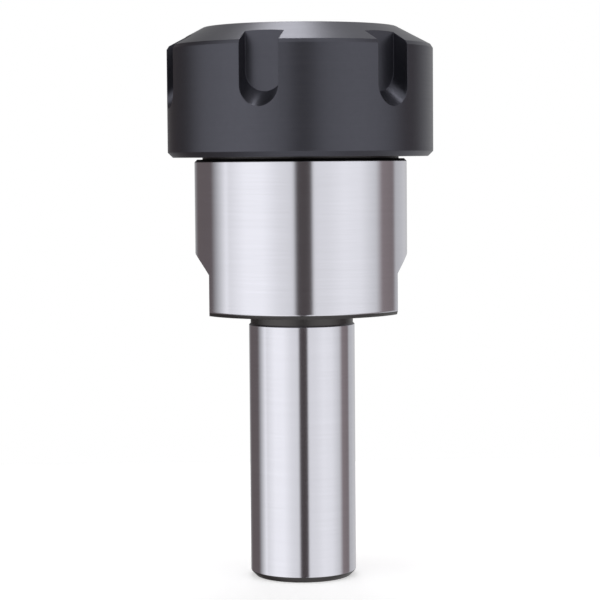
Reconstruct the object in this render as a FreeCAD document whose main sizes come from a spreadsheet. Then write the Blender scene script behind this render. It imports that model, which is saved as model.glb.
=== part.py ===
"""Collet chuck holder with a straight shank, its spring collet, clamping nut and stop screw.

The chuck stands on the end of its shank: +Z runs up the turning axis towards the nut, and the
origin is on that axis at the shank's end. All sizes are in millimetres and degrees.
"""
import FreeCAD, Part
import math
import os
import re
import Sketcher

Vector = FreeCAD.Vector

# ---------------------------------------------------------------------------------------------
# Driving sizes: each one is a cell of the sheet, and its name is the cell's alias.
# ---------------------------------------------------------------------------------------------
SIZES = {
    # holder: straight shank and head
    "shank_diameter": 20.0,
    "shank_length": 50.0,
    "shank_end_chamfer": 1.0,
    "shank_relief_width": 2.2,
    "shank_relief_depth": 0.3,
    "head_diameter": 40.0,
    "head_length": 29.0,
    "head_foot_chamfer": 0.8,
    "head_top_chamfer": 0.5,
    # holder: spanner flats, milled by a round cutter fed in from the shank's side
    "flats_spacing": 34.9,
    "flats_height": 11.4,
    "flats_cutter_diameter": 29.5,
    # holder: threaded nose. Thread and nut meet as plain cylinders near the pitch diameter.
    "nose_length": 11.7,
    "nose_undercut_width": 2.0,
    "nose_undercut_diameter": 37.0,
    "nose_thread_pitch_diameter": 39.03,
    "nose_thread_chamfer": 0.8,
    "nut_thread_clearance": 0.08,
    # holder: tapered socket, room for the tool behind it, threaded rear bore
    "socket_mouth_diameter": 32.0,
    "socket_mouth_chamfer": 0.4,
    "socket_depth": 29.7,
    "taper_half_angle": 8.0,
    "tool_room_diameter": 21.2,
    "tool_room_depth": 5.5,
    "drill_point_half_angle": 59.0,
    "stop_thread_pitch_diameter": 10.86,
    "stop_bore_chamfer": 1.2,
    # spring collet
    "collet_length": 40.0,
    "collet_largest_diameter": 33.0,
    "collet_front_diameter": 27.0,
    "collet_land_length": 1.8,
    "collet_groove_width": 2.9,
    "collet_groove_diameter": 28.6,
    "collet_front_cone_length": 3.6,
    "collet_front_half_angle": 30.0,
    "collet_edge_chamfer": 0.4,
    "collet_taper_clearance": 0.06,
    "tool_bore_diameter": 16.0,
    "slit_count": 8.0,
    "slit_width": 1.0,
    "slit_bridge": 5.0,
    # clamping nut
    "nut_diameter": 50.0,
    "nut_height": 24.2,
    "nut_foot_chamfer": 0.95,
    "nut_crown_height": 3.6,
    "nut_crown_diameter": 36.4,
    "nut_crown_edge_break": 0.45,
    "nut_opening_diameter": 26.8,
    "nut_face_overhang": 0.6,
    "nut_cone_clearance": 0.06,
    "nut_thread_lead": 0.75,
    "nut_thread_length": 12.5,
    "nut_runout_diameter": 40.3,
    "nut_runout_width": 2.3,
    "nut_recess_clearance": 0.5,
    "extractor_thickness": 1.9,
    "extractor_bore_diameter": 30.6,
    "extractor_offset": 0.7,
    "nut_slot_count": 6.0,
    "nut_slot_width": 7.3,
    "nut_slot_floor_radius": 21.2,
    "nut_slot_floor_end": 15.35,
    "nut_slot_end_slope": 0.73,
    "nut_slot_turn": 40.4,
    # stop screw in the rear bore
    "stop_screw_length": 16.0,
    "stop_screw_seat": 22.0,
    "stop_screw_chamfer": 0.8,
    "stop_screw_clearance": 0.05,
    "stop_socket_across_flats": 6.0,
    "stop_socket_depth": 7.0,
}

# ---------------------------------------------------------------------------------------------
# Sizes worked out from the driving ones: properties of a variable set, bound to the sheet.
# Each formula uses the names above it. Heights of the holder are from the shank's end, those
# of the collet from its back end, and those of the nut from its foot.
# ---------------------------------------------------------------------------------------------
FORMULAS = {
    # holder
    "shank_radius": "shank_diameter / 2",
    "shank_relief_start": "shank_length - shank_relief_width",
    "head_radius": "head_diameter / 2",
    "head_top": "shank_length + head_length",
    "nose_thread_start": "head_top + nose_undercut_width",
    "nose_face": "head_top + nose_length",
    "nose_radius": "(nose_thread_pitch_diameter - nut_thread_clearance) / 2",
    "taper_slope": "tan(taper_half_angle * 1 deg)",
    "socket_mouth_radius": "socket_mouth_diameter / 2",
    "socket_bottom": "nose_face - socket_depth",
    "socket_bottom_radius": "socket_mouth_radius - socket_depth * taper_slope",
    "tool_room_bottom": "socket_bottom - tool_room_depth",
    "stop_bore_radius": "stop_thread_pitch_diameter / 2",
    "stop_bore_top": (
        "tool_room_bottom - (tool_room_diameter / 2 - stop_bore_radius)"
        " / tan(drill_point_half_angle * 1 deg)"
    ),
    "flats_cutter_height": "shank_length + flats_height - flats_cutter_diameter / 2",
    # collet
    "collet_radius": "collet_largest_diameter / 2",
    "collet_front_slope": "tan(collet_front_half_angle * 1 deg)",
    "collet_groove_end": "collet_length - collet_front_cone_length",
    "collet_groove_start": "collet_groove_end - collet_groove_width",
    "collet_taper_end": "collet_groove_start - collet_land_length",
    "collet_back_radius": "collet_radius - collet_taper_end * taper_slope",
    "collet_shoulder_radius": (
        "collet_front_diameter / 2 + collet_front_cone_length * collet_front_slope"
    ),
    "collet_seat": (
        "nose_face - collet_taper_end"
        " + (collet_radius + collet_taper_clearance - socket_mouth_radius) / taper_slope"
    ),
    # nut
    "nut_radius": "nut_diameter / 2",
    "nut_seat": "collet_seat + collet_length + nut_face_overhang - nut_height",
    "nut_crown_start": "nut_height - nut_crown_height",
    "nut_crown_slope": "nut_crown_height / (nut_radius - nut_crown_diameter / 2)",
    "nut_thread_radius": "(nose_thread_pitch_diameter + nut_thread_clearance) / 2",
    "nut_thread_end": "nut_thread_lead + nut_thread_length",
    "nut_runout_end": "nut_thread_end + nut_runout_width",
    "nut_collet_front": "nut_height - nut_face_overhang",
    "extractor_middle": (
        "nut_collet_front - collet_length + (collet_groove_start + collet_groove_end) / 2"
    ),
    "extractor_start": "extractor_middle - extractor_thickness / 2",
    "extractor_end": "extractor_middle + extractor_thickness / 2",
    "nut_recess_radius": "collet_radius + nut_recess_clearance",
    "nut_cone_gap": "nut_cone_clearance / cos(collet_front_half_angle * 1 deg)",
    "nut_cone_back_radius": (
        "collet_front_diameter / 2 + (nut_collet_front - extractor_end) * collet_front_slope"
        " + nut_cone_gap"
    ),
    "nut_opening_start": (
        "nut_collet_front + (collet_front_diameter / 2 + nut_cone_gap"
        " - nut_opening_diameter / 2) / collet_front_slope"
    ),
    # stop screw
    "stop_screw_radius": "stop_bore_radius - stop_screw_clearance",
}

SHEET = "Sizes"
DERIVED = "Derived"
WORD = re.compile(r"[a-z][a-z_]{3,}")


def bound(formula):
    """Return a formula with each size name pointing at the sheet or the derived sizes."""

    def full_name(match):
        word = match.group(0)
        if word in SIZES:
            return f"{SHEET}.{word}"
        if word in FORMULAS:
            return f"{DERIVED}.{word}"
        return word

    return WORD.sub(full_name, formula)


def fill_sheet(document):
    """Write the driving sizes as numbers with aliases."""
    sheet = document.addObject("Spreadsheet::Sheet", SHEET)
    for row, (name, value) in enumerate(SIZES.items(), start=1):
        sheet.set(f"A{row}", name)
        sheet.set(f"B{row}", str(value))
        sheet.setAlias(f"B{row}", name)
    document.recompute()
    return sheet


def fill_derived(document):
    """Write the derived sizes as properties that follow the sheet."""
    derived = document.addObject("App::VarSet", DERIVED)
    for name, formula in FORMULAS.items():
        derived.addProperty("App::PropertyFloat", name, "Derived")
        derived.setExpression(name, bound(formula))
    document.recompute()
    return derived


def new_body(document, label):
    """Start an empty body whose label is the sub-part's name."""
    body = document.addObject("PartDesign::Body", label)
    body.Label = label
    return body


def origin_feature(body, role):
    """Return the body's own origin plane or axis with this role."""
    return next(item for item in body.Origin.OriginFeatures if item.Role == role)


def new_sketch(body, name, role, offset_formula=None):
    """Attach a sketch to one of the body's origin planes, at an offset along its normal."""
    sketch = body.newObject("Sketcher::SketchObject", name)
    sketch.AttachmentSupport = (origin_feature(body, role), [""])
    sketch.MapMode = "FlatFace"
    if offset_formula:
        sketch.setExpression("AttachmentOffset.Base.z", bound(offset_formula))
    return sketch


def place_point(sketch, geometry, position, across, up, start):
    """Tie one point of the sketch to a distance across and a height, each a formula or zero."""
    for kind, axis, formula, value in (
        ("DistanceX", -2, across, start.x),
        ("DistanceY", -1, up, start.y),
    ):
        if formula == "0":
            sketch.addConstraint(Sketcher.Constraint("PointOnObject", geometry, position, axis))
            continue
        index = sketch.addConstraint(
            Sketcher.Constraint(kind, -1, 1, geometry, position, value)
        )
        name = f"{kind}_{geometry}_{position}"
        sketch.renameConstraint(index, name)
        sketch.setExpression(f"Constraints.{name}", bound(formula))


def add_polygon(sketch, corners):
    """Draw a closed outline through corners, each a pair of formulas: across and up."""
    count = len(corners)
    turns = [2 * math.pi * index / count for index in range(count)]
    starts = [Vector(count * (2 + math.cos(t)), count * (2 + math.sin(t)), 0) for t in turns]
    for index in range(count):
        following = (index + 1) % count
        sketch.addGeometry(Part.LineSegment(starts[index], starts[following]), False)
    for index in range(count):
        following = (index + 1) % count
        sketch.addConstraint(Sketcher.Constraint("Coincident", index, 2, following, 1))
    for index, (across, up) in enumerate(corners):
        place_point(sketch, index, 1, across, up, starts[index])


def revolve(body, name, corners):
    """Turn a closed outline of (radius, height) corners once around the body's Z axis."""
    sketch = new_sketch(body, f"{name}_outline", "XZ_Plane")
    add_polygon(sketch, corners)
    turned = body.newObject("PartDesign::Revolution", name)
    turned.Profile = sketch
    turned.ReferenceAxis = (sketch, ["V_Axis"])
    turned.Angle = 360
    body.Document.recompute()


def cut_away(body, name, sketch, length_formula, upwards=False, along=None):
    """Pocket a sketch to a depth, and make sure that it removes material.

    A slanting cut runs along a direction of its own, and its depth is still square to the sketch.
    """
    before = body.Shape.Volume
    pocket = body.newObject("PartDesign::Pocket", name)
    pocket.Profile = sketch
    pocket.Reversed = upwards
    pocket.setExpression("Length", bound(length_formula))
    if along:
        pocket.UseCustomVector = True
        pocket.AlongSketchNormal = True
        pocket.Direction = along
    body.Document.recompute()
    if body.Shape.Volume >= before:
        raise RuntimeError(f"{name} removes nothing")
    return pocket


def repeat_round(body, name, feature, count_formula):
    """Repeat a feature evenly around the body's Z axis."""
    pattern = body.newObject("PartDesign::PolarPattern", name)
    pattern.Originals = [feature]
    pattern.Axis = (origin_feature(body, "Z_Axis"), [""])
    pattern.Angle = 360
    pattern.setExpression("Occurrences", bound(count_formula))
    body.Tip = pattern
    body.Document.recompute()


def make_holder_body(document):
    """One turned piece: shank, head, threaded nose, tapered socket and rear bore."""
    body = new_body(document, "holder_body")
    revolve(body, "holder_turning", [
        ("stop_bore_radius + stop_bore_chamfer", "0"),
        ("shank_radius - shank_end_chamfer", "0"),
        ("shank_radius", "shank_end_chamfer"),
        ("shank_radius", "shank_relief_start"),
        ("shank_radius - shank_relief_depth", "shank_relief_start + shank_relief_depth"),
        ("shank_radius - shank_relief_depth", "shank_length"),
        ("head_radius - head_foot_chamfer", "shank_length"),
        ("head_radius", "shank_length + head_foot_chamfer"),
        ("head_radius", "head_top - head_top_chamfer"),
        ("head_radius - head_top_chamfer", "head_top"),
        ("nose_undercut_diameter / 2", "head_top"),
        ("nose_undercut_diameter / 2", "nose_thread_start"),
        ("nose_radius - nose_thread_chamfer / 2", "nose_thread_start"),
        ("nose_radius", "nose_thread_start + nose_thread_chamfer / 2"),
        ("nose_radius", "nose_face - nose_thread_chamfer"),
        ("nose_radius - nose_thread_chamfer", "nose_face"),
        ("socket_mouth_radius + socket_mouth_chamfer", "nose_face"),
        (
            "socket_mouth_radius - socket_mouth_chamfer * taper_slope",
            "nose_face - socket_mouth_chamfer",
        ),
        ("socket_bottom_radius", "socket_bottom"),
        ("tool_room_diameter / 2", "socket_bottom"),
        ("tool_room_diameter / 2", "tool_room_bottom"),
        ("stop_bore_radius", "stop_bore_top"),
        ("stop_bore_radius", "stop_bore_chamfer"),
    ])
    sketch = new_sketch(body, "flat_outline", "YZ_Plane", "flats_spacing / 2")
    sketch.addGeometry(
        Part.Circle(Vector(0, SIZES["shank_length"], 0), Vector(0, 0, 1), SIZES["flats_height"]),
        False,
    )
    place_point(sketch, 0, 3, "0", "flats_cutter_height", Vector(0, SIZES["shank_length"], 0))
    sketch.addConstraint(Sketcher.Constraint("Diameter", 0, 2 * SIZES["flats_height"]))
    sketch.renameConstraint(sketch.ConstraintCount - 1, "cutter")
    sketch.setExpression("Constraints.cutter", bound("flats_cutter_diameter"))
    flat = cut_away(body, "spanner_flat", sketch, "head_diameter", upwards=True)
    other = body.newObject("PartDesign::Mirrored", "opposite_flat")
    other.Originals = [flat]
    other.MirrorPlane = (origin_feature(body, "YZ_Plane"), [""])
    body.Tip = other
    document.recompute()
    return body


def make_spring_collet(document):
    """Tapered sleeve, slit from both ends in turn, with a groove for the extractor ring."""
    body = new_body(document, "spring_collet")
    bore = "tool_bore_diameter / 2"
    revolve(body, "collet_turning", [
        (f"{bore} + collet_edge_chamfer", "0"),
        ("collet_back_radius - collet_edge_chamfer", "0"),
        (
            "collet_back_radius + collet_edge_chamfer * taper_slope",
            "collet_edge_chamfer",
        ),
        ("collet_radius", "collet_taper_end"),
        ("collet_radius", "collet_groove_start"),
        ("collet_groove_diameter / 2", "collet_groove_start"),
        ("collet_groove_diameter / 2", "collet_groove_end"),
        ("collet_shoulder_radius", "collet_groove_end"),
        ("collet_front_diameter / 2", "collet_length"),
        (f"{bore} + collet_edge_chamfer", "collet_length"),
        (bore, "collet_length - collet_edge_chamfer"),
        (bore, "collet_edge_chamfer"),
    ])
    slit_corners = [
        ("0", "slit_width / 2"),
        ("0", "-slit_width / 2"),
        ("collet_largest_diameter", "-slit_width / 2"),
        ("collet_largest_diameter", "slit_width / 2"),
    ]
    front_sketch = new_sketch(body, "front_slit_outline", "XY_Plane", "slit_bridge")
    add_polygon(front_sketch, slit_corners)
    front = cut_away(body, "front_slit", front_sketch, "collet_length", upwards=True)
    repeat_round(body, "front_slits", front, "slit_count")
    back_sketch = new_sketch(body, "back_slit_outline", "XY_Plane")
    add_polygon(back_sketch, slit_corners)
    back_sketch.AttachmentOffset = FreeCAD.Placement(
        Vector(0, 0, 0), FreeCAD.Rotation(Vector(0, 0, 1), 180 / SIZES["slit_count"])
    )
    back_sketch.setExpression("AttachmentOffset.Rotation.Angle", bound("180 / slit_count"))
    back = cut_away(body, "back_slit", back_sketch, "collet_length - slit_bridge", upwards=True)
    repeat_round(body, "back_slits", back, "slit_count")
    body.setExpression("Placement.Base.z", bound("collet_seat"))
    document.recompute()
    return body


def make_clamping_nut(document, derived):
    """Ring nut: thread, eccentric extractor ring, front cone, and six spanner slots."""
    body = new_body(document, "clamping_nut")
    opening = "nut_opening_diameter / 2"
    revolve(body, "nut_turning", [
        ("nut_thread_radius + nut_thread_lead", "0"),
        ("nut_radius - nut_foot_chamfer", "0"),
        ("nut_radius", "nut_foot_chamfer"),
        ("nut_radius", "nut_crown_start - nut_crown_edge_break"),
        (
            "nut_radius - nut_crown_edge_break",
            "nut_crown_start + nut_crown_edge_break * nut_crown_slope",
        ),
        ("nut_crown_diameter / 2", "nut_height"),
        (opening, "nut_height"),
        (opening, "nut_opening_start"),
        ("nut_cone_back_radius", "extractor_end"),
        ("extractor_bore_diameter / 2 - extractor_offset", "extractor_end"),
        ("extractor_bore_diameter / 2 - extractor_offset", "extractor_start"),
        ("nut_recess_radius", "extractor_start"),
        ("nut_recess_radius", "nut_runout_end"),
        ("nut_runout_diameter / 2", "nut_runout_end"),
        ("nut_runout_diameter / 2", "nut_thread_end"),
        ("nut_thread_radius", "nut_thread_end"),
        ("nut_thread_radius", "nut_thread_lead"),
    ])
    ring_sketch = new_sketch(body, "extractor_outline", "XY_Plane", "extractor_start")
    ring_start = Vector(SIZES["extractor_offset"], 0, 0)
    bore_radius = SIZES["extractor_bore_diameter"] / 2
    ring_sketch.addGeometry(Part.Circle(ring_start, Vector(0, 0, 1), bore_radius), False)
    place_point(ring_sketch, 0, 3, "extractor_offset", "0", ring_start)
    ring_sketch.addConstraint(Sketcher.Constraint("Diameter", 0, 2 * bore_radius))
    ring_sketch.renameConstraint(ring_sketch.ConstraintCount - 1, "bore")
    ring_sketch.setExpression("Constraints.bore", bound("extractor_bore_diameter"))
    cut_away(body, "extractor_bore", ring_sketch, "extractor_thickness", upwards=True)

    slot_sketch = new_sketch(body, "slot_outline", "XZ_Plane", "nut_slot_floor_radius")
    half = SIZES["nut_slot_width"] / 2
    end = SIZES["nut_slot_floor_end"]
    top = end + SIZES["nut_height"]
    left_top, left_end = Vector(-half, top, 0), Vector(-half, end, 0)
    right_top, right_end = Vector(half, top, 0), Vector(half, end, 0)
    round_end = Part.Circle(Vector(0, end, 0), Vector(0, 0, 1), half)
    slot_sketch.addGeometry(Part.LineSegment(left_top, left_end), False)
    slot_sketch.addGeometry(Part.ArcOfCircle(round_end, math.pi, 2 * math.pi), False)
    slot_sketch.addGeometry(Part.LineSegment(right_end, right_top), False)
    slot_sketch.addGeometry(Part.LineSegment(right_top, left_top), False)
    joins = ("Tangent", "Coincident", "Coincident", "Coincident")
    for first, join in enumerate(joins):
        following = (first + 1) % len(joins)
        slot_sketch.addConstraint(Sketcher.Constraint(join, first, 2, following, 1))
    top_formula = "nut_slot_floor_end + nut_height"
    place_point(slot_sketch, 0, 1, "-nut_slot_width / 2", top_formula, left_top)
    place_point(slot_sketch, 0, 2, "-nut_slot_width / 2", "nut_slot_floor_end", left_end)
    place_point(slot_sketch, 2, 1, "nut_slot_width / 2", "nut_slot_floor_end", right_end)
    place_point(slot_sketch, 3, 1, "nut_slot_width / 2", top_formula, right_top)
    downwards_and_out = Vector(0, -1, -SIZES["nut_slot_end_slope"])
    slot = cut_away(body, "spanner_slot", slot_sketch, "nut_radius", along=downwards_and_out)
    repeat_round(body, "spanner_slots", slot, "nut_slot_count")
    body.Placement = FreeCAD.Placement(
        Vector(0, 0, derived.nut_seat),
        FreeCAD.Rotation(Vector(0, 0, 1), SIZES["nut_slot_turn"]),
    )
    body.setExpression("Placement.Base.z", bound("nut_seat"))
    body.setExpression("Placement.Rotation.Angle", bound("nut_slot_turn"))
    document.recompute()
    return body


def make_stop_screw(document):
    """Grub screw in the rear bore that the tool's end rests on, with a hexagon socket."""
    body = new_body(document, "stop_screw")
    revolve(body, "screw_turning", [
        ("0", "0"),
        ("stop_screw_radius - stop_screw_chamfer", "0"),
        ("stop_screw_radius", "stop_screw_chamfer"),
        ("stop_screw_radius", "stop_screw_length - stop_screw_chamfer"),
        ("stop_screw_radius - stop_screw_chamfer", "stop_screw_length"),
        ("0", "stop_screw_length"),
    ])
    socket_sketch = new_sketch(body, "socket_outline", "XY_Plane")
    half = "stop_socket_across_flats / 2"
    corner = f"{half} / cos(30 deg)"
    half_corner = f"{half} * tan(30 deg)"
    add_polygon(socket_sketch, [
        (corner, "0"),
        (half_corner, half),
        (f"-{half_corner}", half),
        (f"-{corner}", "0"),
        (f"-{half_corner}", f"-{half}"),
        (half_corner, f"-{half}"),
    ])
    cut_away(body, "hexagon_socket", socket_sketch, "stop_socket_depth", upwards=True)
    body.setExpression("Placement.Base.z", bound("stop_screw_seat"))
    document.recompute()
    return body


def check_document(document, bodies):
    """Stop if any object failed or any sub-part isn't one sound solid."""
    for item in document.Objects:
        if "Invalid" in item.State or "Error" in item.State:
            raise RuntimeError(f"{item.Name} failed: {item.State}")
    for body in bodies:
        shape = body.Shape
        if shape.isNull() or not shape.isValid() or len(shape.Solids) != 1:
            raise RuntimeError(f"{body.Label} is not one sound solid")


def main():
    """Build the document, check it and write one file for each sub-part."""
    document = FreeCAD.newDocument("collet_chuck_holder")
    fill_sheet(document)
    derived = fill_derived(document)
    bodies = [
        make_holder_body(document),
        make_spring_collet(document),
        make_clamping_nut(document, derived),
        make_stop_screw(document),
    ]
    document.recompute()
    check_document(document, bodies)
    os.makedirs("parts", exist_ok=True)
    for body in bodies:
        body.Shape.exportStep(f"parts/{body.Label}.step")
        box = body.Shape.BoundBox
        print(
            f"{body.Label}: volume {body.Shape.Volume:.1f} mm3,"
            f" z {box.ZMin:.3f} to {box.ZMax:.3f}, x {box.XMin:.3f} to {box.XMax:.3f}"
        )


main()
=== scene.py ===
"""A straight-shank collet chuck: ground holder, blackened clamping nut, spring collet and stop screw.

The holder and the thread ridges are built from their driving sizes in millimetres, the nut, collet and stop
screw keep the form of the frame's solids, and every piece rides on its own body of the frame.
The holder is lathed from its profile and milled, the threads' ridges are one Geometry Nodes tree, and
each finish is a small procedural material.
"""

import logging
import math
from dataclasses import dataclass, field
from enum import Enum

import bmesh
import bpy
from mathutils import Euler, Matrix, Vector


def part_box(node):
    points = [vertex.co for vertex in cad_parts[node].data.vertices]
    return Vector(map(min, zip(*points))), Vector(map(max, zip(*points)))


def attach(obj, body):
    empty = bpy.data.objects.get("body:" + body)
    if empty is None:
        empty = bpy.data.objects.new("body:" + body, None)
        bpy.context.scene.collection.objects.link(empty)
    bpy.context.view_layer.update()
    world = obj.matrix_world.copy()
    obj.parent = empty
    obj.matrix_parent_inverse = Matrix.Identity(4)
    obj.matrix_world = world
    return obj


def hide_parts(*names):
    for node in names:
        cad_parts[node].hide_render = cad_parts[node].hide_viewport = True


logging.basicConfig(level=logging.INFO, format="%(name)s: %(message)s")
LOG = logging.getLogger("collet_chuck")

MM = 0.001
STANDARD_HALF_ANGLE = math.radians(8.0)

Point = tuple[float, float]


class Surface(Enum):
    """How a band of a turned piece was finished."""

    GROUND = 0
    # Bands of this kind take the darkened turned steel, which paints shade into chamfers, grooves and the
    # bore.
    TURNED = 1


# ---------------------------------------------------------------------------
# Finishes
# ---------------------------------------------------------------------------


@dataclass(frozen=True)
class MetalFinish:
    """A turned or ground metal surface, with fine marks round the turning axis.

    Attributes:
        name: The material's name.
        colour: Linear base colour.
        metallic: 1.0 for bare metal, lower for an oxide or coating.
        roughness: Mean roughness.
        roughness_spread: How far the marks move the roughness up and down.
        anisotropy: How strongly the marks stretch a highlight along the axis.
        mark_pitch: Spacing of the marks along the axis, in metres.
        mark_depth: Strength of the bump that the marks make.
        tone_spread: How far the base colour varies from band to band.
        mottle: Strength of the broad, uneven tone of an oxide.
        specular: Specular level of the non-metallic share.
        edge_break: Radius over which a crisp edge catches the light, in metres.
    """

    name: str
    colour: tuple[float, float, float]
    metallic: float = 1.0
    roughness: float = 0.3
    roughness_spread: float = 0.06
    anisotropy: float = 0.5
    mark_pitch: float = 0.00025
    mark_depth: float = 0.15
    tone_spread: float = 0.05
    mottle: float = 0.0
    specular: float = 0.5
    edge_break: float = 0.0002

    def make(self) -> bpy.types.Material:
        """Builds the material.

        Returns:
            The new material, which reads Object coordinates only.
        """
        material = bpy.data.materials.new(self.name)
        material.use_nodes = True
        tree = material.node_tree
        shader = tree.nodes["Principled BSDF"]
        shader.inputs["Metallic"].default_value = self.metallic
        shader.inputs["Anisotropic"].default_value = self.anisotropy
        shader.inputs["Anisotropic Rotation"].default_value = 0.25
        shader.inputs["Specular IOR Level"].default_value = self.specular
        material.diffuse_color = (*self.colour, 1.0)

        round_coordinates = self._round_coordinates(tree)
        marks = self._marks(tree, round_coordinates, 1.0)
        bands = self._marks(tree, round_coordinates, 0.13)
        mottle = self._noise(tree, 900.0, 3.0)

        height = self._mix_values(tree, marks, bands, 0.35)
        bump = tree.nodes.new("ShaderNodeBump")
        bump.inputs["Strength"].default_value = self.mark_depth
        bump.inputs["Distance"].default_value = 0.00002
        edge = tree.nodes.new("ShaderNodeBevel")
        edge.inputs["Radius"].default_value = self.edge_break
        tree.links.new(edge.outputs["Normal"], bump.inputs["Normal"])
        tree.links.new(height, bump.inputs["Height"])
        tree.links.new(bump.outputs["Normal"], shader.inputs["Normal"])

        roughness = tree.nodes.new("ShaderNodeMapRange")
        roughness.inputs["To Min"].default_value = self.roughness - self.roughness_spread
        roughness.inputs["To Max"].default_value = self.roughness + self.roughness_spread
        tree.links.new(marks, roughness.inputs["Value"])
        tree.links.new(roughness.outputs["Result"], shader.inputs["Roughness"])

        tone = tree.nodes.new("ShaderNodeMapRange")
        tone.inputs["To Min"].default_value = 1.0 - self.tone_spread
        tone.inputs["To Max"].default_value = 1.0 + self.tone_spread
        source = self._mix_values(tree, height, mottle, self.mottle)
        tree.links.new(source, tone.inputs["Value"])
        paint = tree.nodes.new("ShaderNodeVectorMath")
        paint.operation = "SCALE"
        paint.inputs[0].default_value = self.colour
        tree.links.new(tone.outputs["Result"], paint.inputs["Scale"])
        tree.links.new(paint.outputs["Vector"], shader.inputs["Base Color"])

        tangent = tree.nodes.new("ShaderNodeTangent")
        tangent.direction_type = "RADIAL"
        tangent.axis = "Z"
        tree.links.new(tangent.outputs["Tangent"], shader.inputs["Tangent"])
        return material

    def _round_coordinates(self, tree: bpy.types.NodeTree) -> bpy.types.NodeSocket:
        """Object coordinates turned into distance from the axis, turn and height.

        Args:
            tree: The material's node tree.

        Returns:
            A vector socket (radius, turn, height), with the turn squeezed so that marks run round.
        """
        place = tree.nodes.new("ShaderNodeTexCoord")
        across = tree.nodes.new("ShaderNodeVectorMath")
        across.operation = "MULTIPLY"
        across.inputs[1].default_value = (1.0, 1.0, 0.0)
        length = tree.nodes.new("ShaderNodeVectorMath")
        length.operation = "LENGTH"
        tree.links.new(place.outputs["Object"], across.inputs[0])
        tree.links.new(across.outputs["Vector"], length.inputs[0])
        squeezed = tree.nodes.new("ShaderNodeVectorMath")
        squeezed.operation = "MULTIPLY"
        squeezed.inputs[1].default_value = (0.02, 0.02, 1.0)
        tree.links.new(place.outputs["Object"], squeezed.inputs[0])
        lifted = tree.nodes.new("ShaderNodeCombineXYZ")
        tree.links.new(length.outputs["Value"], lifted.inputs["Z"])
        joined = tree.nodes.new("ShaderNodeVectorMath")
        joined.operation = "ADD"
        tree.links.new(squeezed.outputs["Vector"], joined.inputs[0])
        tree.links.new(lifted.outputs["Vector"], joined.inputs[1])
        return joined.outputs["Vector"]

    def _marks(
        self, tree: bpy.types.NodeTree, vector: bpy.types.NodeSocket, density: float
    ) -> bpy.types.NodeSocket:
        """Fine lines round the axis.

        Args:
            tree: The material's node tree.
            vector: The squeezed coordinates.
            density: Lines for each mark pitch.

        Returns:
            A value socket from 0 to 1.
        """
        noise = tree.nodes.new("ShaderNodeTexNoise")
        noise.inputs["Scale"].default_value = density / self.mark_pitch
        noise.inputs["Detail"].default_value = 4.0
        noise.inputs["Roughness"].default_value = 0.6
        tree.links.new(vector, noise.inputs["Vector"])
        return noise.outputs["Fac"]

    @staticmethod
    def _noise(tree: bpy.types.NodeTree, scale: float, detail: float) -> bpy.types.NodeSocket:
        """An even cloud of tone in Object coordinates.

        Args:
            tree: The material's node tree.
            scale: Clouds for each metre.
            detail: Octaves.

        Returns:
            A value socket from 0 to 1.
        """
        place = tree.nodes.new("ShaderNodeTexCoord")
        noise = tree.nodes.new("ShaderNodeTexNoise")
        noise.inputs["Scale"].default_value = scale
        noise.inputs["Detail"].default_value = detail
        tree.links.new(place.outputs["Object"], noise.inputs["Vector"])
        return noise.outputs["Fac"]

    @staticmethod
    def _mix_values(
        tree: bpy.types.NodeTree,
        first: bpy.types.NodeSocket,
        second: bpy.types.NodeSocket,
        share: float,
    ) -> bpy.types.NodeSocket:
        """Mixes two values.

        Args:
            tree: The material's node tree.
            first: The first value.
            second: The second value.
            share: How much of the second value is taken.

        Returns:
            The mixed value's socket.
        """
        mix = tree.nodes.new("ShaderNodeMix")
        mix.data_type = "FLOAT"
        mix.inputs[0].default_value = share
        tree.links.new(first, mix.inputs[2])
        tree.links.new(second, mix.inputs[3])
        return mix.outputs[0]


GROUND_STEEL = MetalFinish(
    name="ground_steel", colour=(0.82, 0.82, 0.89), roughness=0.14, roughness_spread=0.04,
    anisotropy=0.5, mark_pitch=0.00022, mark_depth=0.12, tone_spread=0.08,
)
# Turned steel darkened to about a tenth of bare steel: its real turned finish plus painted shade for the
# chamfers, relief groove, undercut, nose and bore.
TURNED_STEEL_PAINTED_SHADE = MetalFinish(
    name="turned_steel_painted_shade", colour=(0.10, 0.095, 0.095), roughness=0.4, roughness_spread=0.08,
    anisotropy=0.3, mark_pitch=0.0004, mark_depth=0.3, tone_spread=0.12,
)
SPRING_STEEL = MetalFinish(
    name="spring_steel", colour=(0.5, 0.5, 0.52), roughness=0.36, roughness_spread=0.06,
    anisotropy=0.5, mark_pitch=0.0002, mark_depth=0.15, tone_spread=0.05,
)
BLACK_OXIDE = MetalFinish(
    name="black_oxide", colour=(0.092, 0.093, 0.113), metallic=0.9, roughness=0.34,
    roughness_spread=0.05, anisotropy=0.1, mark_pitch=0.0003, mark_depth=0.18, tone_spread=0.12,
    mottle=0.35,
)
SCREW_STEEL = MetalFinish(
    name="screw_steel", colour=(0.075, 0.075, 0.085), metallic=0.9, roughness=0.36,
    roughness_spread=0.06, anisotropy=0.2, mark_pitch=0.0004, mark_depth=0.2, tone_spread=0.1,
)


# ---------------------------------------------------------------------------
# Meshes
# ---------------------------------------------------------------------------


@dataclass
class TurnedProfile:
    """A closed outline in (radius, height), in millimetres, walked with the metal on its left.

    Attributes:
        points: The outline's points.
        bands: The surface of the band that ends at each point.
    """

    points: list[Point] = field(default_factory=list)
    bands: list[Surface] = field(default_factory=list)

    def to(self, radius: float, height: float, surface: Surface = Surface.GROUND) -> "TurnedProfile":
        """Adds a straight band.

        Args:
            radius: The end's distance from the axis.
            height: The end's height.
            surface: The band's surface.

        Returns:
            The profile itself.
        """
        self.points.append((radius, height))
        self.bands.append(surface)
        return self


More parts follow.
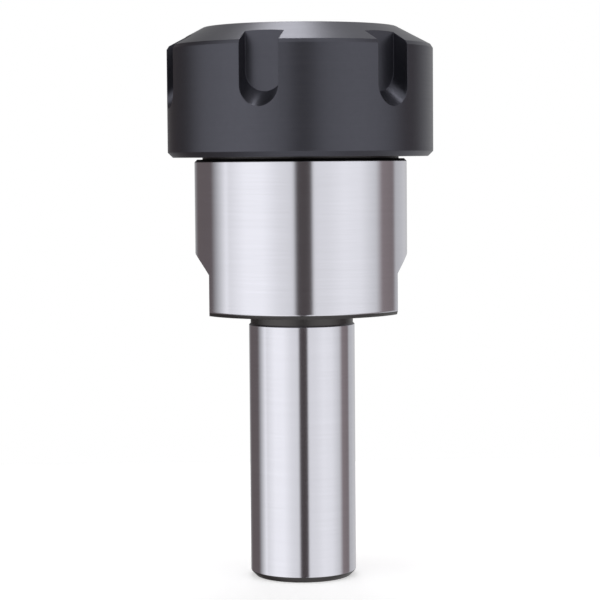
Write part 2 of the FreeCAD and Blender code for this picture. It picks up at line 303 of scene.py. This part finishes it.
def lathe(name: str, profile: TurnedProfile, columns: int) -> bpy.types.Object:
    """Turns a closed profile about the Z axis.

    Args:
        name: The object's name.
        profile: The outline, whose material indices follow its bands.
        columns: Faces round the axis.

    Returns:
        A closed, smooth-shaded object at the origin.
    """
    shape = bmesh.new()
    rings = []
    for radius, height in profile.points:
        if radius < 1e-6:
            rings.append([shape.verts.new((0.0, 0.0, height * MM))])
            continue
        ring = []
        for column in range(columns):
            turn = 2.0 * math.pi * column / columns
            ring.append(
                shape.verts.new((radius * MM * math.cos(turn), radius * MM * math.sin(turn), height * MM))
            )
        rings.append(ring)
    count = len(rings)
    for index in range(count):
        ring, before = rings[index], rings[index - 1]
        if len(ring) == 1 and len(before) == 1:
            continue
        for column in range(columns):
            following = (column + 1) % columns
            corners = (
                [before[0]] if len(before) == 1 else [before[column], before[following]]
            ) + ([ring[0]] if len(ring) == 1 else [ring[following], ring[column]])
            face = shape.faces.new(corners)
            face.smooth = True
            face.material_index = profile.bands[index].value
    bmesh.ops.recalc_face_normals(shape, faces=shape.faces)
    mesh = bpy.data.meshes.new(name)
    shape.to_mesh(mesh)
    shape.free()
    thing = bpy.data.objects.new(name, mesh)
    bpy.context.scene.collection.objects.link(thing)
    return thing


def sharpen(thing: bpy.types.Object, degrees: float) -> None:
    """Keeps edges crisp where two faces meet at more than an angle, and smooth elsewhere.

    Args:
        thing: The object.
        degrees: The angle.
    """
    mesh = thing.data
    for polygon in mesh.polygons:
        polygon.use_smooth = True
    shape = bmesh.new()
    shape.from_mesh(mesh)
    limit = math.radians(degrees)
    for edge in shape.edges:
        edge.smooth = not (len(edge.link_faces) == 2 and edge.calc_face_angle(0.0) > limit)
    shape.to_mesh(mesh)
    shape.free()


def set_materials(thing: bpy.types.Object, *materials: bpy.types.Material) -> None:
    """Gives an object its materials in order.

    Args:
        thing: The object.
        *materials: The materials.
    """
    for material in materials:
        thing.data.materials.append(material)


def join(name: str, things: list[bpy.types.Object]) -> bpy.types.Object:
    """Joins objects of the same body into one.

    Args:
        name: The joined object's name.
        things: The objects; the first one's materials come first.

    Returns:
        The joined object.
    """
    with bpy.context.temp_override(
        active_object=things[0], selected_objects=things, selected_editable_objects=things
    ):
        bpy.ops.object.join()
    things[0].name = name
    return things[0]


# ---------------------------------------------------------------------------
# Geometry Nodes
# ---------------------------------------------------------------------------


class NodeTree:
    """A Geometry Nodes tree with named inputs, run on an object and turned into a plain mesh."""

    def __init__(self, name: str, inputs: dict[str, str]) -> None:
        """Starts the tree.

        Args:
            name: The tree's name.
            inputs: Socket type of each named input.
        """
        self.tree = bpy.data.node_groups.new(name, "GeometryNodeTree")
        self.tree.interface.new_socket("Geometry", in_out="INPUT", socket_type="NodeSocketGeometry")
        self.identifiers = {
            label: self.tree.interface.new_socket(label, in_out="INPUT", socket_type=kind).identifier
            for label, kind in inputs.items()
        }
        self.tree.interface.new_socket("Geometry", in_out="OUTPUT", socket_type="NodeSocketGeometry")
        self.given = self.tree.nodes.new("NodeGroupInput")
        self.result = self.tree.nodes.new("NodeGroupOutput")

    def add(self, kind: str, **settings: object) -> bpy.types.Node:
        """Adds a node.

        Args:
            kind: The node's type name.
            **settings: The node's properties.

        Returns:
            The node.
        """
        node = self.tree.nodes.new(kind)
        for key, value in settings.items():
            setattr(node, key, value)
        return node

    def link(self, start: bpy.types.NodeSocket, end: bpy.types.NodeSocket) -> None:
        """Links two sockets."""
        self.tree.links.new(start, end)

    def value(self, operation: str, *terms: object) -> bpy.types.NodeSocket:
        """Adds a Math node.

        Args:
            operation: The node's operation.
            *terms: Numbers or sockets.

        Returns:
            The node's output.
        """
        node = self.add("ShaderNodeMath", operation=operation)
        for socket, term in zip(node.inputs, terms):
            if isinstance(term, (int, float)):
                socket.default_value = term
            else:
                self.link(term, socket)
        return node.outputs[0]

    def finish(self, geometry: bpy.types.NodeSocket) -> None:
        """Ends the tree in Realize Instances and Set Material.

        Args:
            geometry: The made geometry.
        """
        realize = self.add("GeometryNodeRealizeInstances")
        paint = self.add("GeometryNodeSetMaterial")
        self.link(geometry, realize.inputs[0])
        self.link(realize.outputs[0], paint.inputs["Geometry"])
        self.link(self.given.outputs["Material"], paint.inputs["Material"])
        self.link(paint.outputs[0], self.result.inputs[0])

    def run(self, name: str, seed: bpy.types.Object, values: dict[str, object]) -> bpy.types.Object:
        """Runs the tree on an object.

        Args:
            name: The made object's name.
            seed: The object whose mesh goes in; it is used up.
            values: The named inputs' values.

        Returns:
            A plain mesh object at the origin.
        """
        modifier = seed.modifiers.new(self.tree.name, "NODES")
        modifier.node_group = self.tree
        for label, value in values.items():
            modifier[self.identifiers[label]] = value
        bpy.context.view_layer.update()
        evaluated = seed.evaluated_get(bpy.context.evaluated_depsgraph_get())
        mesh = bpy.data.meshes.new_from_object(evaluated)
        seed.modifiers.remove(modifier)
        old = seed.data
        bpy.data.objects.remove(seed)
        bpy.data.meshes.remove(old)
        mesh.name = name
        made = bpy.data.objects.new(name, mesh)
        bpy.context.scene.collection.objects.link(made)
        return made


def empty_seed(name: str) -> bpy.types.Object:
    """An object with an empty mesh, for a tree that makes everything itself.

    Args:
        name: The object's name.

    Returns:
        The object.
    """
    thing = bpy.data.objects.new(name, bpy.data.meshes.new(name))
    bpy.context.scene.collection.objects.link(thing)
    return thing


class ThreadTree(NodeTree):
    """Winds a thread's ridge round the Z axis, fading out at both ends."""

    def __init__(self) -> None:
        """Builds the tree."""
        super().__init__(
            "thread_ridge",
            {
                "Turns": "NodeSocketFloat",
                "Pitch": "NodeSocketFloat",
                "Radius": "NodeSocketFloat",
                "Depth": "NodeSocketFloat",
                "Crest": "NodeSocketFloat",
                "Start Height": "NodeSocketFloat",
                "Start Turn": "NodeSocketFloat",
                "Steps per Turn": "NodeSocketInt",
                "Material": "NodeSocketMaterial",
            },
        )
        given = self.given.outputs
        line = self.add("GeometryNodeCurvePrimitiveLine")
        line.inputs["End"].default_value = (0.0, 0.0, 1.0)
        steps = self.add("GeometryNodeResampleCurve")
        self.link(line.outputs[0], steps.inputs["Curve"])
        self.link(
            self.value("MULTIPLY", given["Turns"], given["Steps per Turn"]), steps.inputs["Count"]
        )
        along = self.add("GeometryNodeSplineParameter").outputs["Factor"]
        turned = self.value("MULTIPLY", along, given["Turns"])
        angle = self.value(
            "ADD", self.value("MULTIPLY", turned, 2.0 * math.pi), given["Start Turn"]
        )
        place = self.add("ShaderNodeCombineXYZ")
        self.link(self.value("MULTIPLY", self.value("COSINE", angle), given["Radius"]), place.inputs["X"])
        self.link(self.value("MULTIPLY", self.value("SINE", angle), given["Radius"]), place.inputs["Y"])
        self.link(
            self.value("ADD", self.value("MULTIPLY", turned, given["Pitch"]), given["Start Height"]),
            place.inputs["Z"],
        )
        helix = self.add("GeometryNodeSetPosition")
        self.link(steps.outputs[0], helix.inputs["Geometry"])
        self.link(place.outputs[0], helix.inputs["Position"])
        upright = self.add("GeometryNodeSetCurveNormal", mode="Z_UP")
        self.link(helix.outputs[0], upright.inputs["Curve"])
        # The ridge fades over the first and last quarter turn.
        ends = self.value(
            "MINIMUM", turned, self.value("SUBTRACT", given["Turns"], turned)
        )
        fade = self.value("MINIMUM", self.value("MAXIMUM", self.value("MULTIPLY", ends, 4.0), 0.03), 1.0)
        profile = self.add("GeometryNodeCurvePrimitiveQuadrilateral", mode="TRAPEZOID")
        self.link(self.value("MULTIPLY", given["Pitch"], 0.94), profile.inputs["Bottom Width"])
        self.link(given["Crest"], profile.inputs["Top Width"])
        self.link(given["Depth"], profile.inputs["Height"])
        profile.inputs["Offset"].default_value = 0.0
        turned_profile = self.add("GeometryNodeTransform")
        turned_profile.inputs["Rotation"].default_value = (0.0, 0.0, -math.pi / 2.0)
        self.link(profile.outputs[0], turned_profile.inputs["Geometry"])
        sweep = self.add("GeometryNodeCurveToMesh")
        self.link(upright.outputs[0], sweep.inputs["Curve"])
        self.link(turned_profile.outputs[0], sweep.inputs["Profile Curve"])
        self.link(fade, sweep.inputs["Scale"])
        sweep.inputs["Fill Caps"].default_value = True
        self.finish(sweep.outputs[0])


# ---------------------------------------------------------------------------
# Sub-assemblies
# ---------------------------------------------------------------------------


@dataclass
class Holder:
    """The shank, head and nose, turned in one piece, with the collet's tapered socket.

    Attributes are millimetres from the shank's end face.
    """

    foot: float
    top: float
    shank_radius: float = 10.0
    shank_chamfer: float = 1.0
    relief_start: float = 47.8
    relief_radius: float = 9.7
    head_radius: float = 20.0
    head_foot: float = 50.0
    head_top: float = 79.0
    head_foot_chamfer: float = 0.8
    head_top_chamfer: float = 0.5
    undercut_radius: float = 18.5
    nose_start: float = 81.0
    thread_root: float = 19.08
    thread_crest: float = 19.97
    thread_pitch: float = 1.5
    nose_chamfer: float = 0.8
    socket_mouth: float = 16.0
    socket_chamfer: float = 0.4
    socket_depth: float = 29.7
    room_radius: float = 10.6
    room_depth: float = 35.2
    bore_radius: float = 5.43
    bore_chamfer: float = 1.2
    drill_angle: float = 59.0
    flat_distance: float = 17.45
    flat_centre: float = 46.65
    flat_round: float = 14.75
    columns: int = 360

    def profile(self) -> TurnedProfile:
        """The holder's outline, from the shank's end, up the outside and down the bore."""
        turned = Surface.TURNED
        slope = math.tan(STANDARD_HALF_ANGLE)
        socket_foot = self.top - self.socket_depth
        room_foot = self.top - self.room_depth
        drill = (self.room_radius - self.bore_radius) / math.tan(math.radians(self.drill_angle))
        outline = TurnedProfile()
        outline.to(self.bore_radius + self.bore_chamfer, self.foot)
        outline.to(self.shank_radius - self.shank_chamfer, self.foot)
        outline.to(self.shank_radius - 0.12, self.foot + self.shank_chamfer - 0.12, turned)
        outline.to(self.shank_radius, self.foot + self.shank_chamfer + 0.1, turned)
        outline.to(self.shank_radius, self.relief_start)
        outline.to(self.relief_radius, self.relief_start + 0.3, turned)
        outline.to(self.relief_radius, self.head_foot - 0.2, turned)
        outline.to(self.relief_radius + 0.2, self.head_foot, turned)
        outline.to(self.head_radius - self.head_foot_chamfer, self.head_foot)
        outline.to(self.head_radius - 0.1, self.head_foot + self.head_foot_chamfer - 0.1, turned)
        outline.to(self.head_radius, self.head_foot + self.head_foot_chamfer + 0.08)
        outline.to(self.head_radius, self.head_top - self.head_top_chamfer)
        outline.to(self.head_radius - self.head_top_chamfer, self.head_top, turned)
        outline.to(self.undercut_radius, self.head_top, turned)
        outline.to(self.undercut_radius, self.nose_start, turned)
        outline.to(self.thread_root, self.nose_start + 0.3, turned)
        outline.to(self.thread_root, self.top - self.nose_chamfer, turned)
        outline.to(self.thread_root - 0.4, self.top, turned)
        outline.to(self.socket_mouth + self.socket_chamfer, self.top)
        outline.to(self.socket_mouth - self.socket_chamfer * slope, self.top - self.socket_chamfer, turned)
        outline.to(self.socket_mouth - self.socket_depth * slope, socket_foot)
        outline.to(self.room_radius, socket_foot, turned)
        outline.to(self.room_radius, room_foot, turned)
        outline.to(self.bore_radius, room_foot - drill, turned)
        outline.to(self.bore_radius, self.foot + self.bore_chamfer, turned)
        outline.bands[0] = turned
        return outline

    def build(
        self, steel: bpy.types.Material, turned: bpy.types.Material, threads: ThreadTree
    ) -> bpy.types.Object:
        """Builds the holder with its flats and threads.

        Args:
            steel: The ground steel.
            turned: The turned, unground steel, darkened as painted shade for the chamfers, grooves and
                bore.
            threads: The tree of thread ridges.

        Returns:
            The finished holder.
        """
        blank = lathe("holder_blank", self.profile(), self.columns)
        set_materials(blank, steel, turned)
        for sign in (1.0, -1.0):
            cutter = self._flat_cutter(sign)
            set_materials(cutter, steel)
            trim = blank.modifiers.new("flat", "BOOLEAN")
            trim.operation = "DIFFERENCE"
            trim.solver = "EXACT"
            trim.object = cutter
            bpy.context.view_layer.update()
            evaluated = blank.evaluated_get(bpy.context.evaluated_depsgraph_get())
            mesh = bpy.data.meshes.new_from_object(evaluated)
            blank.modifiers.clear()
            blank.data = mesh
            bpy.data.objects.remove(cutter)
        sharpen(blank, 18.0)
        ridge = threads.run(
            "nose_thread",
            empty_seed("nose_thread"),
            {
                "Turns": (self.top - self.nose_chamfer - self.nose_start) / self.thread_pitch,
                "Pitch": self.thread_pitch * MM,
                "Radius": (self.thread_root + self.thread_crest) / 2.0 * MM,
                "Depth": (self.thread_crest - self.thread_root) * MM,
                "Crest": 0.22 * MM,
                "Start Height": (self.nose_start + 0.3) * MM,
                "Start Turn": 0.0,
                "Steps per Turn": 120,
                "Material": turned,
            },
        )
        sharpen(ridge, 30.0)
        return join("holder", [blank, ridge])

    def _flat_cutter(self, sign: float) -> bpy.types.Object:
        """One milled flat's cutter, rounded at its foot end.

        Args:
            sign: 1 for the flat towards +X, -1 for the other.

        Returns:
            The cutter's object.
        """
        steps = 96
        shape = bmesh.new()
        inner, outer = self.flat_distance * MM, (self.head_radius + 6.0) * MM
        near, far = [], []
        for step in range(steps):
            turn = 2.0 * math.pi * step / steps
            across = self.flat_round * MM * math.cos(turn)
            height = (self.flat_centre + self.flat_round * math.sin(turn)) * MM
            near.append(shape.verts.new((sign * inner, across, height)))
            far.append(shape.verts.new((sign * outer, across, height)))
        shape.faces.new(near)
        shape.faces.new(far)
        for step in range(steps):
            following = (step + 1) % steps
            shape.faces.new([near[step], near[following], far[following], far[step]])
        bmesh.ops.recalc_face_normals(shape, faces=shape.faces)
        mesh = bpy.data.meshes.new("flat_cutter")
        shape.to_mesh(mesh)
        shape.free()
        cutter = bpy.data.objects.new("flat_cutter", mesh)
        bpy.context.scene.collection.objects.link(cutter)
        return cutter


@dataclass
class SolidPiece:
    """A piece with the form of one solid of the frame, welded and shaded with crisp edges.

    Attributes:
        node: The solid's name.
        crease: Angle in degrees past which an edge stays crisp.
    """

    node: str
    crease: float = 22.0

    def build(self, material: bpy.types.Material) -> bpy.types.Object:
        """Builds the piece.

        Args:
            material: Its finish.

        Returns:
            The piece at the origin.
        """
        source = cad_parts[self.node]
        shape = bmesh.new()
        shape.from_mesh(source.data)
        bmesh.ops.remove_doubles(shape, verts=shape.verts, dist=0.000001)
        mesh = bpy.data.meshes.new(self.node + "_dressed")
        shape.to_mesh(mesh)
        shape.free()
        thing = bpy.data.objects.new(self.node + "_dressed", mesh)
        bpy.context.scene.collection.objects.link(thing)
        set_materials(thing, material)
        sharpen(thing, self.crease)
        return thing


@dataclass
class ClampingNut(SolidPiece):
    """The six-slot nut with its inside thread, in millimetres above its foot."""

    thread_root: float = 20.02
    thread_crest: float = 19.5
    thread_pitch: float = 1.5
    thread_end: float = 13.0
    thread_start: float = 0.8
    nose_ridge: float = 81.3

    def build_threaded(self, oxide: bpy.types.Material, threads: ThreadTree) -> bpy.types.Object:
        """Builds the nut.

        Args:
            oxide: The black oxide.
            threads: The tree of thread ridges.

        Returns:
            The finished nut.
        """
        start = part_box(self.node)[0].z / MM + self.thread_start
        # Half a pitch from the nose's ridge, so that the two threads mesh.
        phase = (self.nose_ridge + self.thread_pitch / 2.0 - start) / self.thread_pitch
        ridge = threads.run(
            "nut_thread",
            empty_seed("nut_thread"),
            {
                "Turns": (self.thread_end - self.thread_start) / self.thread_pitch,
                "Pitch": self.thread_pitch * MM,
                "Radius": (self.thread_root + self.thread_crest) / 2.0 * MM,
                "Depth": (self.thread_root - self.thread_crest) * MM,
                "Crest": 0.25 * MM,
                "Start Height": start * MM,
                "Start Turn": -2.0 * math.pi * phase,
                "Steps per Turn": 120,
                "Material": oxide,
            },
        )
        return join("clamping_nut_dressed", [self.build(oxide), ridge])


@dataclass
class Studio:
    """A pale floor, a ring of softboxes with dark gaps between them, and the camera."""

    gaps: tuple[tuple[float, float], ...] = (
        (-180.0, 0.5), (-165.0, 0.35), (-150.0, 0.13), (-113.0, 0.13), (-104.0, 0.4),
        (-84.0, 0.8), (-62.0, 1.0), (-42.0, 1.0), (-24.0, 0.82), (-8.5, 0.74), (-4.5, 0.07),
        (10.5, 0.07), (13.5, 0.78), (28.0, 0.8), (47.0, 0.9), (67.0, 0.86), (88.0, 0.62),
        (98.0, 0.24), (118.0, 0.2), (124.0, 0.5), (150.0, 0.6),
    )
    facing: float = -92.24
    camera_place: tuple[float, float, float] = (-0.01584, -0.39717, 0.07807)
    camera_turn: tuple[float, float, float] = (-3.706, -0.437, -2.24)
    lens: float = 126.12

    def build(self) -> None:
        """Builds the studio."""
        self._surroundings()
        self._floor()
        self._strip_lamp()
        self._camera()

    def _surroundings(self) -> None:
        """Softboxes all round as a world, white where the camera looks past the floor."""
        world = bpy.data.worlds.new("studio")
        world.use_nodes = True
        bpy.context.scene.world = world
        tree = world.node_tree
        direction = tree.nodes.new("ShaderNodeTexCoord")
        split = tree.nodes.new("ShaderNodeSeparateXYZ")
        tree.links.new(direction.outputs["Generated"], split.inputs[0])
        turn = tree.nodes.new("ShaderNodeMath")
        turn.operation = "ARCTAN2"
        tree.links.new(split.outputs["Y"], turn.inputs[0])
        tree.links.new(split.outputs["X"], turn.inputs[1])
        share = tree.nodes.new("ShaderNodeMapRange")
        share.inputs["From Min"].default_value = -math.pi
        share.inputs["From Max"].default_value = math.pi
        tree.links.new(turn.outputs[0], share.inputs["Value"])
        ramp = tree.nodes.new("ShaderNodeValToRGB")
        tree.links.new(share.outputs[0], ramp.inputs[0])
        stops = sorted(((turned + self.facing + 180.0) / 360.0 % 1.0, level) for turned, level in self.gaps)
        bar = ramp.color_ramp.elements
        bar[0].position, bar[0].color = 0.0, (0.93, 0.93, 0.93, 1.0)
        bar[1].position, bar[1].color = 1.0, (0.93, 0.93, 0.93, 1.0)
        for position, level in stops:
            warmth = 1.0 if level > 0.3 else 0.85
            bar.new(position).color = (level, level * warmth, level * warmth, 1.0)
        path = tree.nodes.new("ShaderNodeLightPath")
        mix = tree.nodes.new("ShaderNodeMix")
        mix.data_type = "RGBA"
        mix.inputs[7].default_value = (1.0, 1.0, 1.0, 1.0)
        tree.links.new(path.outputs["Is Camera Ray"], mix.inputs[0])
        tree.links.new(ramp.outputs[0], mix.inputs[6])
        tree.links.new(mix.outputs[2], tree.nodes["Background"].inputs["Color"])

    def _floor(self) -> None:
        """A pale floor that keeps the chuck's shadow."""
        bpy.ops.mesh.primitive_plane_add(size=0.3)
        floor = bpy.context.object
        floor.name = "floor"
        floor.visible_glossy = False
        material = bpy.data.materials.new("floor")
        material.use_nodes = True
        tree = material.node_tree
        shader = tree.nodes["Principled BSDF"]
        shader.inputs["Base Color"].default_value = (0.9, 0.9, 0.9, 1.0)
        shader.inputs["Roughness"].default_value = 0.9
        shader.inputs["Specular IOR Level"].default_value = 0.1
        shader.inputs["Emission Color"].default_value = (1.0, 1.0, 1.0, 1.0)
        path = tree.nodes.new("ShaderNodeLightPath")
        seen = tree.nodes.new("ShaderNodeMath")
        seen.operation = "MULTIPLY"
        seen.inputs[1].default_value = 0.45
        tree.links.new(path.outputs["Is Camera Ray"], seen.inputs[0])
        tree.links.new(seen.outputs[0], shader.inputs["Emission Strength"])
        set_materials(floor, material)

    def _strip_lamp(self) -> None:
        """A narrow softbox above and behind, which lights the nut's crown."""
        light = bpy.data.lights.new("strip", "AREA")
        light.shape = "RECTANGLE"
        light.size, light.size_y = 0.12, 0.6
        light.energy = 0.9
        lamp = bpy.data.objects.new("strip", light)
        bpy.context.scene.collection.objects.link(lamp)
        lamp.location = (-0.01, 0.24, 0.62)
        lamp.rotation_euler = (Vector((0.0, 0.0, 0.1)) - lamp.location).to_track_quat("-Z", "Y").to_euler()

    def _camera(self) -> None:
        """The camera in front, a little above the head."""
        data = bpy.data.cameras.new("camera")
        data.lens = self.lens
        data.clip_start = 0.01
        camera = bpy.data.objects.new("camera", data)
        bpy.context.scene.collection.objects.link(camera)
        pitch, roll, yaw = (math.radians(turn) for turn in self.camera_turn)
        aim = Euler((math.pi / 2.0 + pitch, 0.0, yaw)).to_matrix().to_4x4()
        camera.matrix_world = Matrix.Translation(self.camera_place) @ aim @ Matrix.Rotation(roll, 4, "Z")
        bpy.context.scene.camera = camera


def place(thing: bpy.types.Object, body: str, node: str, slot: str) -> None:
    """Lets a finished piece ride on its body and stand for its solid.

    Args:
        thing: The piece.
        body: The body it moves with.
        node: The solid it stands for.
        slot: Its material slot; not used.
    """
    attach(thing, body)
    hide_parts(node)
    LOG.info("%s rides on %s with %d faces", thing.name, body, len(thing.data.polygons))


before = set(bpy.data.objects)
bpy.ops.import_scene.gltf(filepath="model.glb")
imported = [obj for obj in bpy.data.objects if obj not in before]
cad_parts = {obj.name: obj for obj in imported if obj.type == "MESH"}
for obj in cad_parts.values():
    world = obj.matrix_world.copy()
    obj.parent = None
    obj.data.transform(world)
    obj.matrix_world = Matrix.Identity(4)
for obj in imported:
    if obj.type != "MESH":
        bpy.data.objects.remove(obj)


def main() -> None:
    """Builds the chuck and its studio."""
    scene = bpy.context.scene
    scene.view_settings.view_transform = "Standard"
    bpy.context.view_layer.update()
    threads = ThreadTree()
    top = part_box("holder_body")[1].z / MM
    holder = Holder(0.0, top).build(GROUND_STEEL.make(), TURNED_STEEL_PAINTED_SHADE.make(), threads)
    place(holder, "holder", "holder_body", "ground_steel")
    nut = ClampingNut("clamping_nut").build_threaded(BLACK_OXIDE.make(), threads)
    place(nut, "nut", "clamping_nut", "black_oxide")
    collet = SolidPiece("spring_collet").build(SPRING_STEEL.make())
    place(collet, "collet", "spring_collet", "spring_steel")
    screw = SolidPiece("stop_screw").build(SCREW_STEEL.make())
    place(screw, "stop", "stop_screw", "screw_steel")
    Studio().build()


if __name__ == "__main__":
    main()
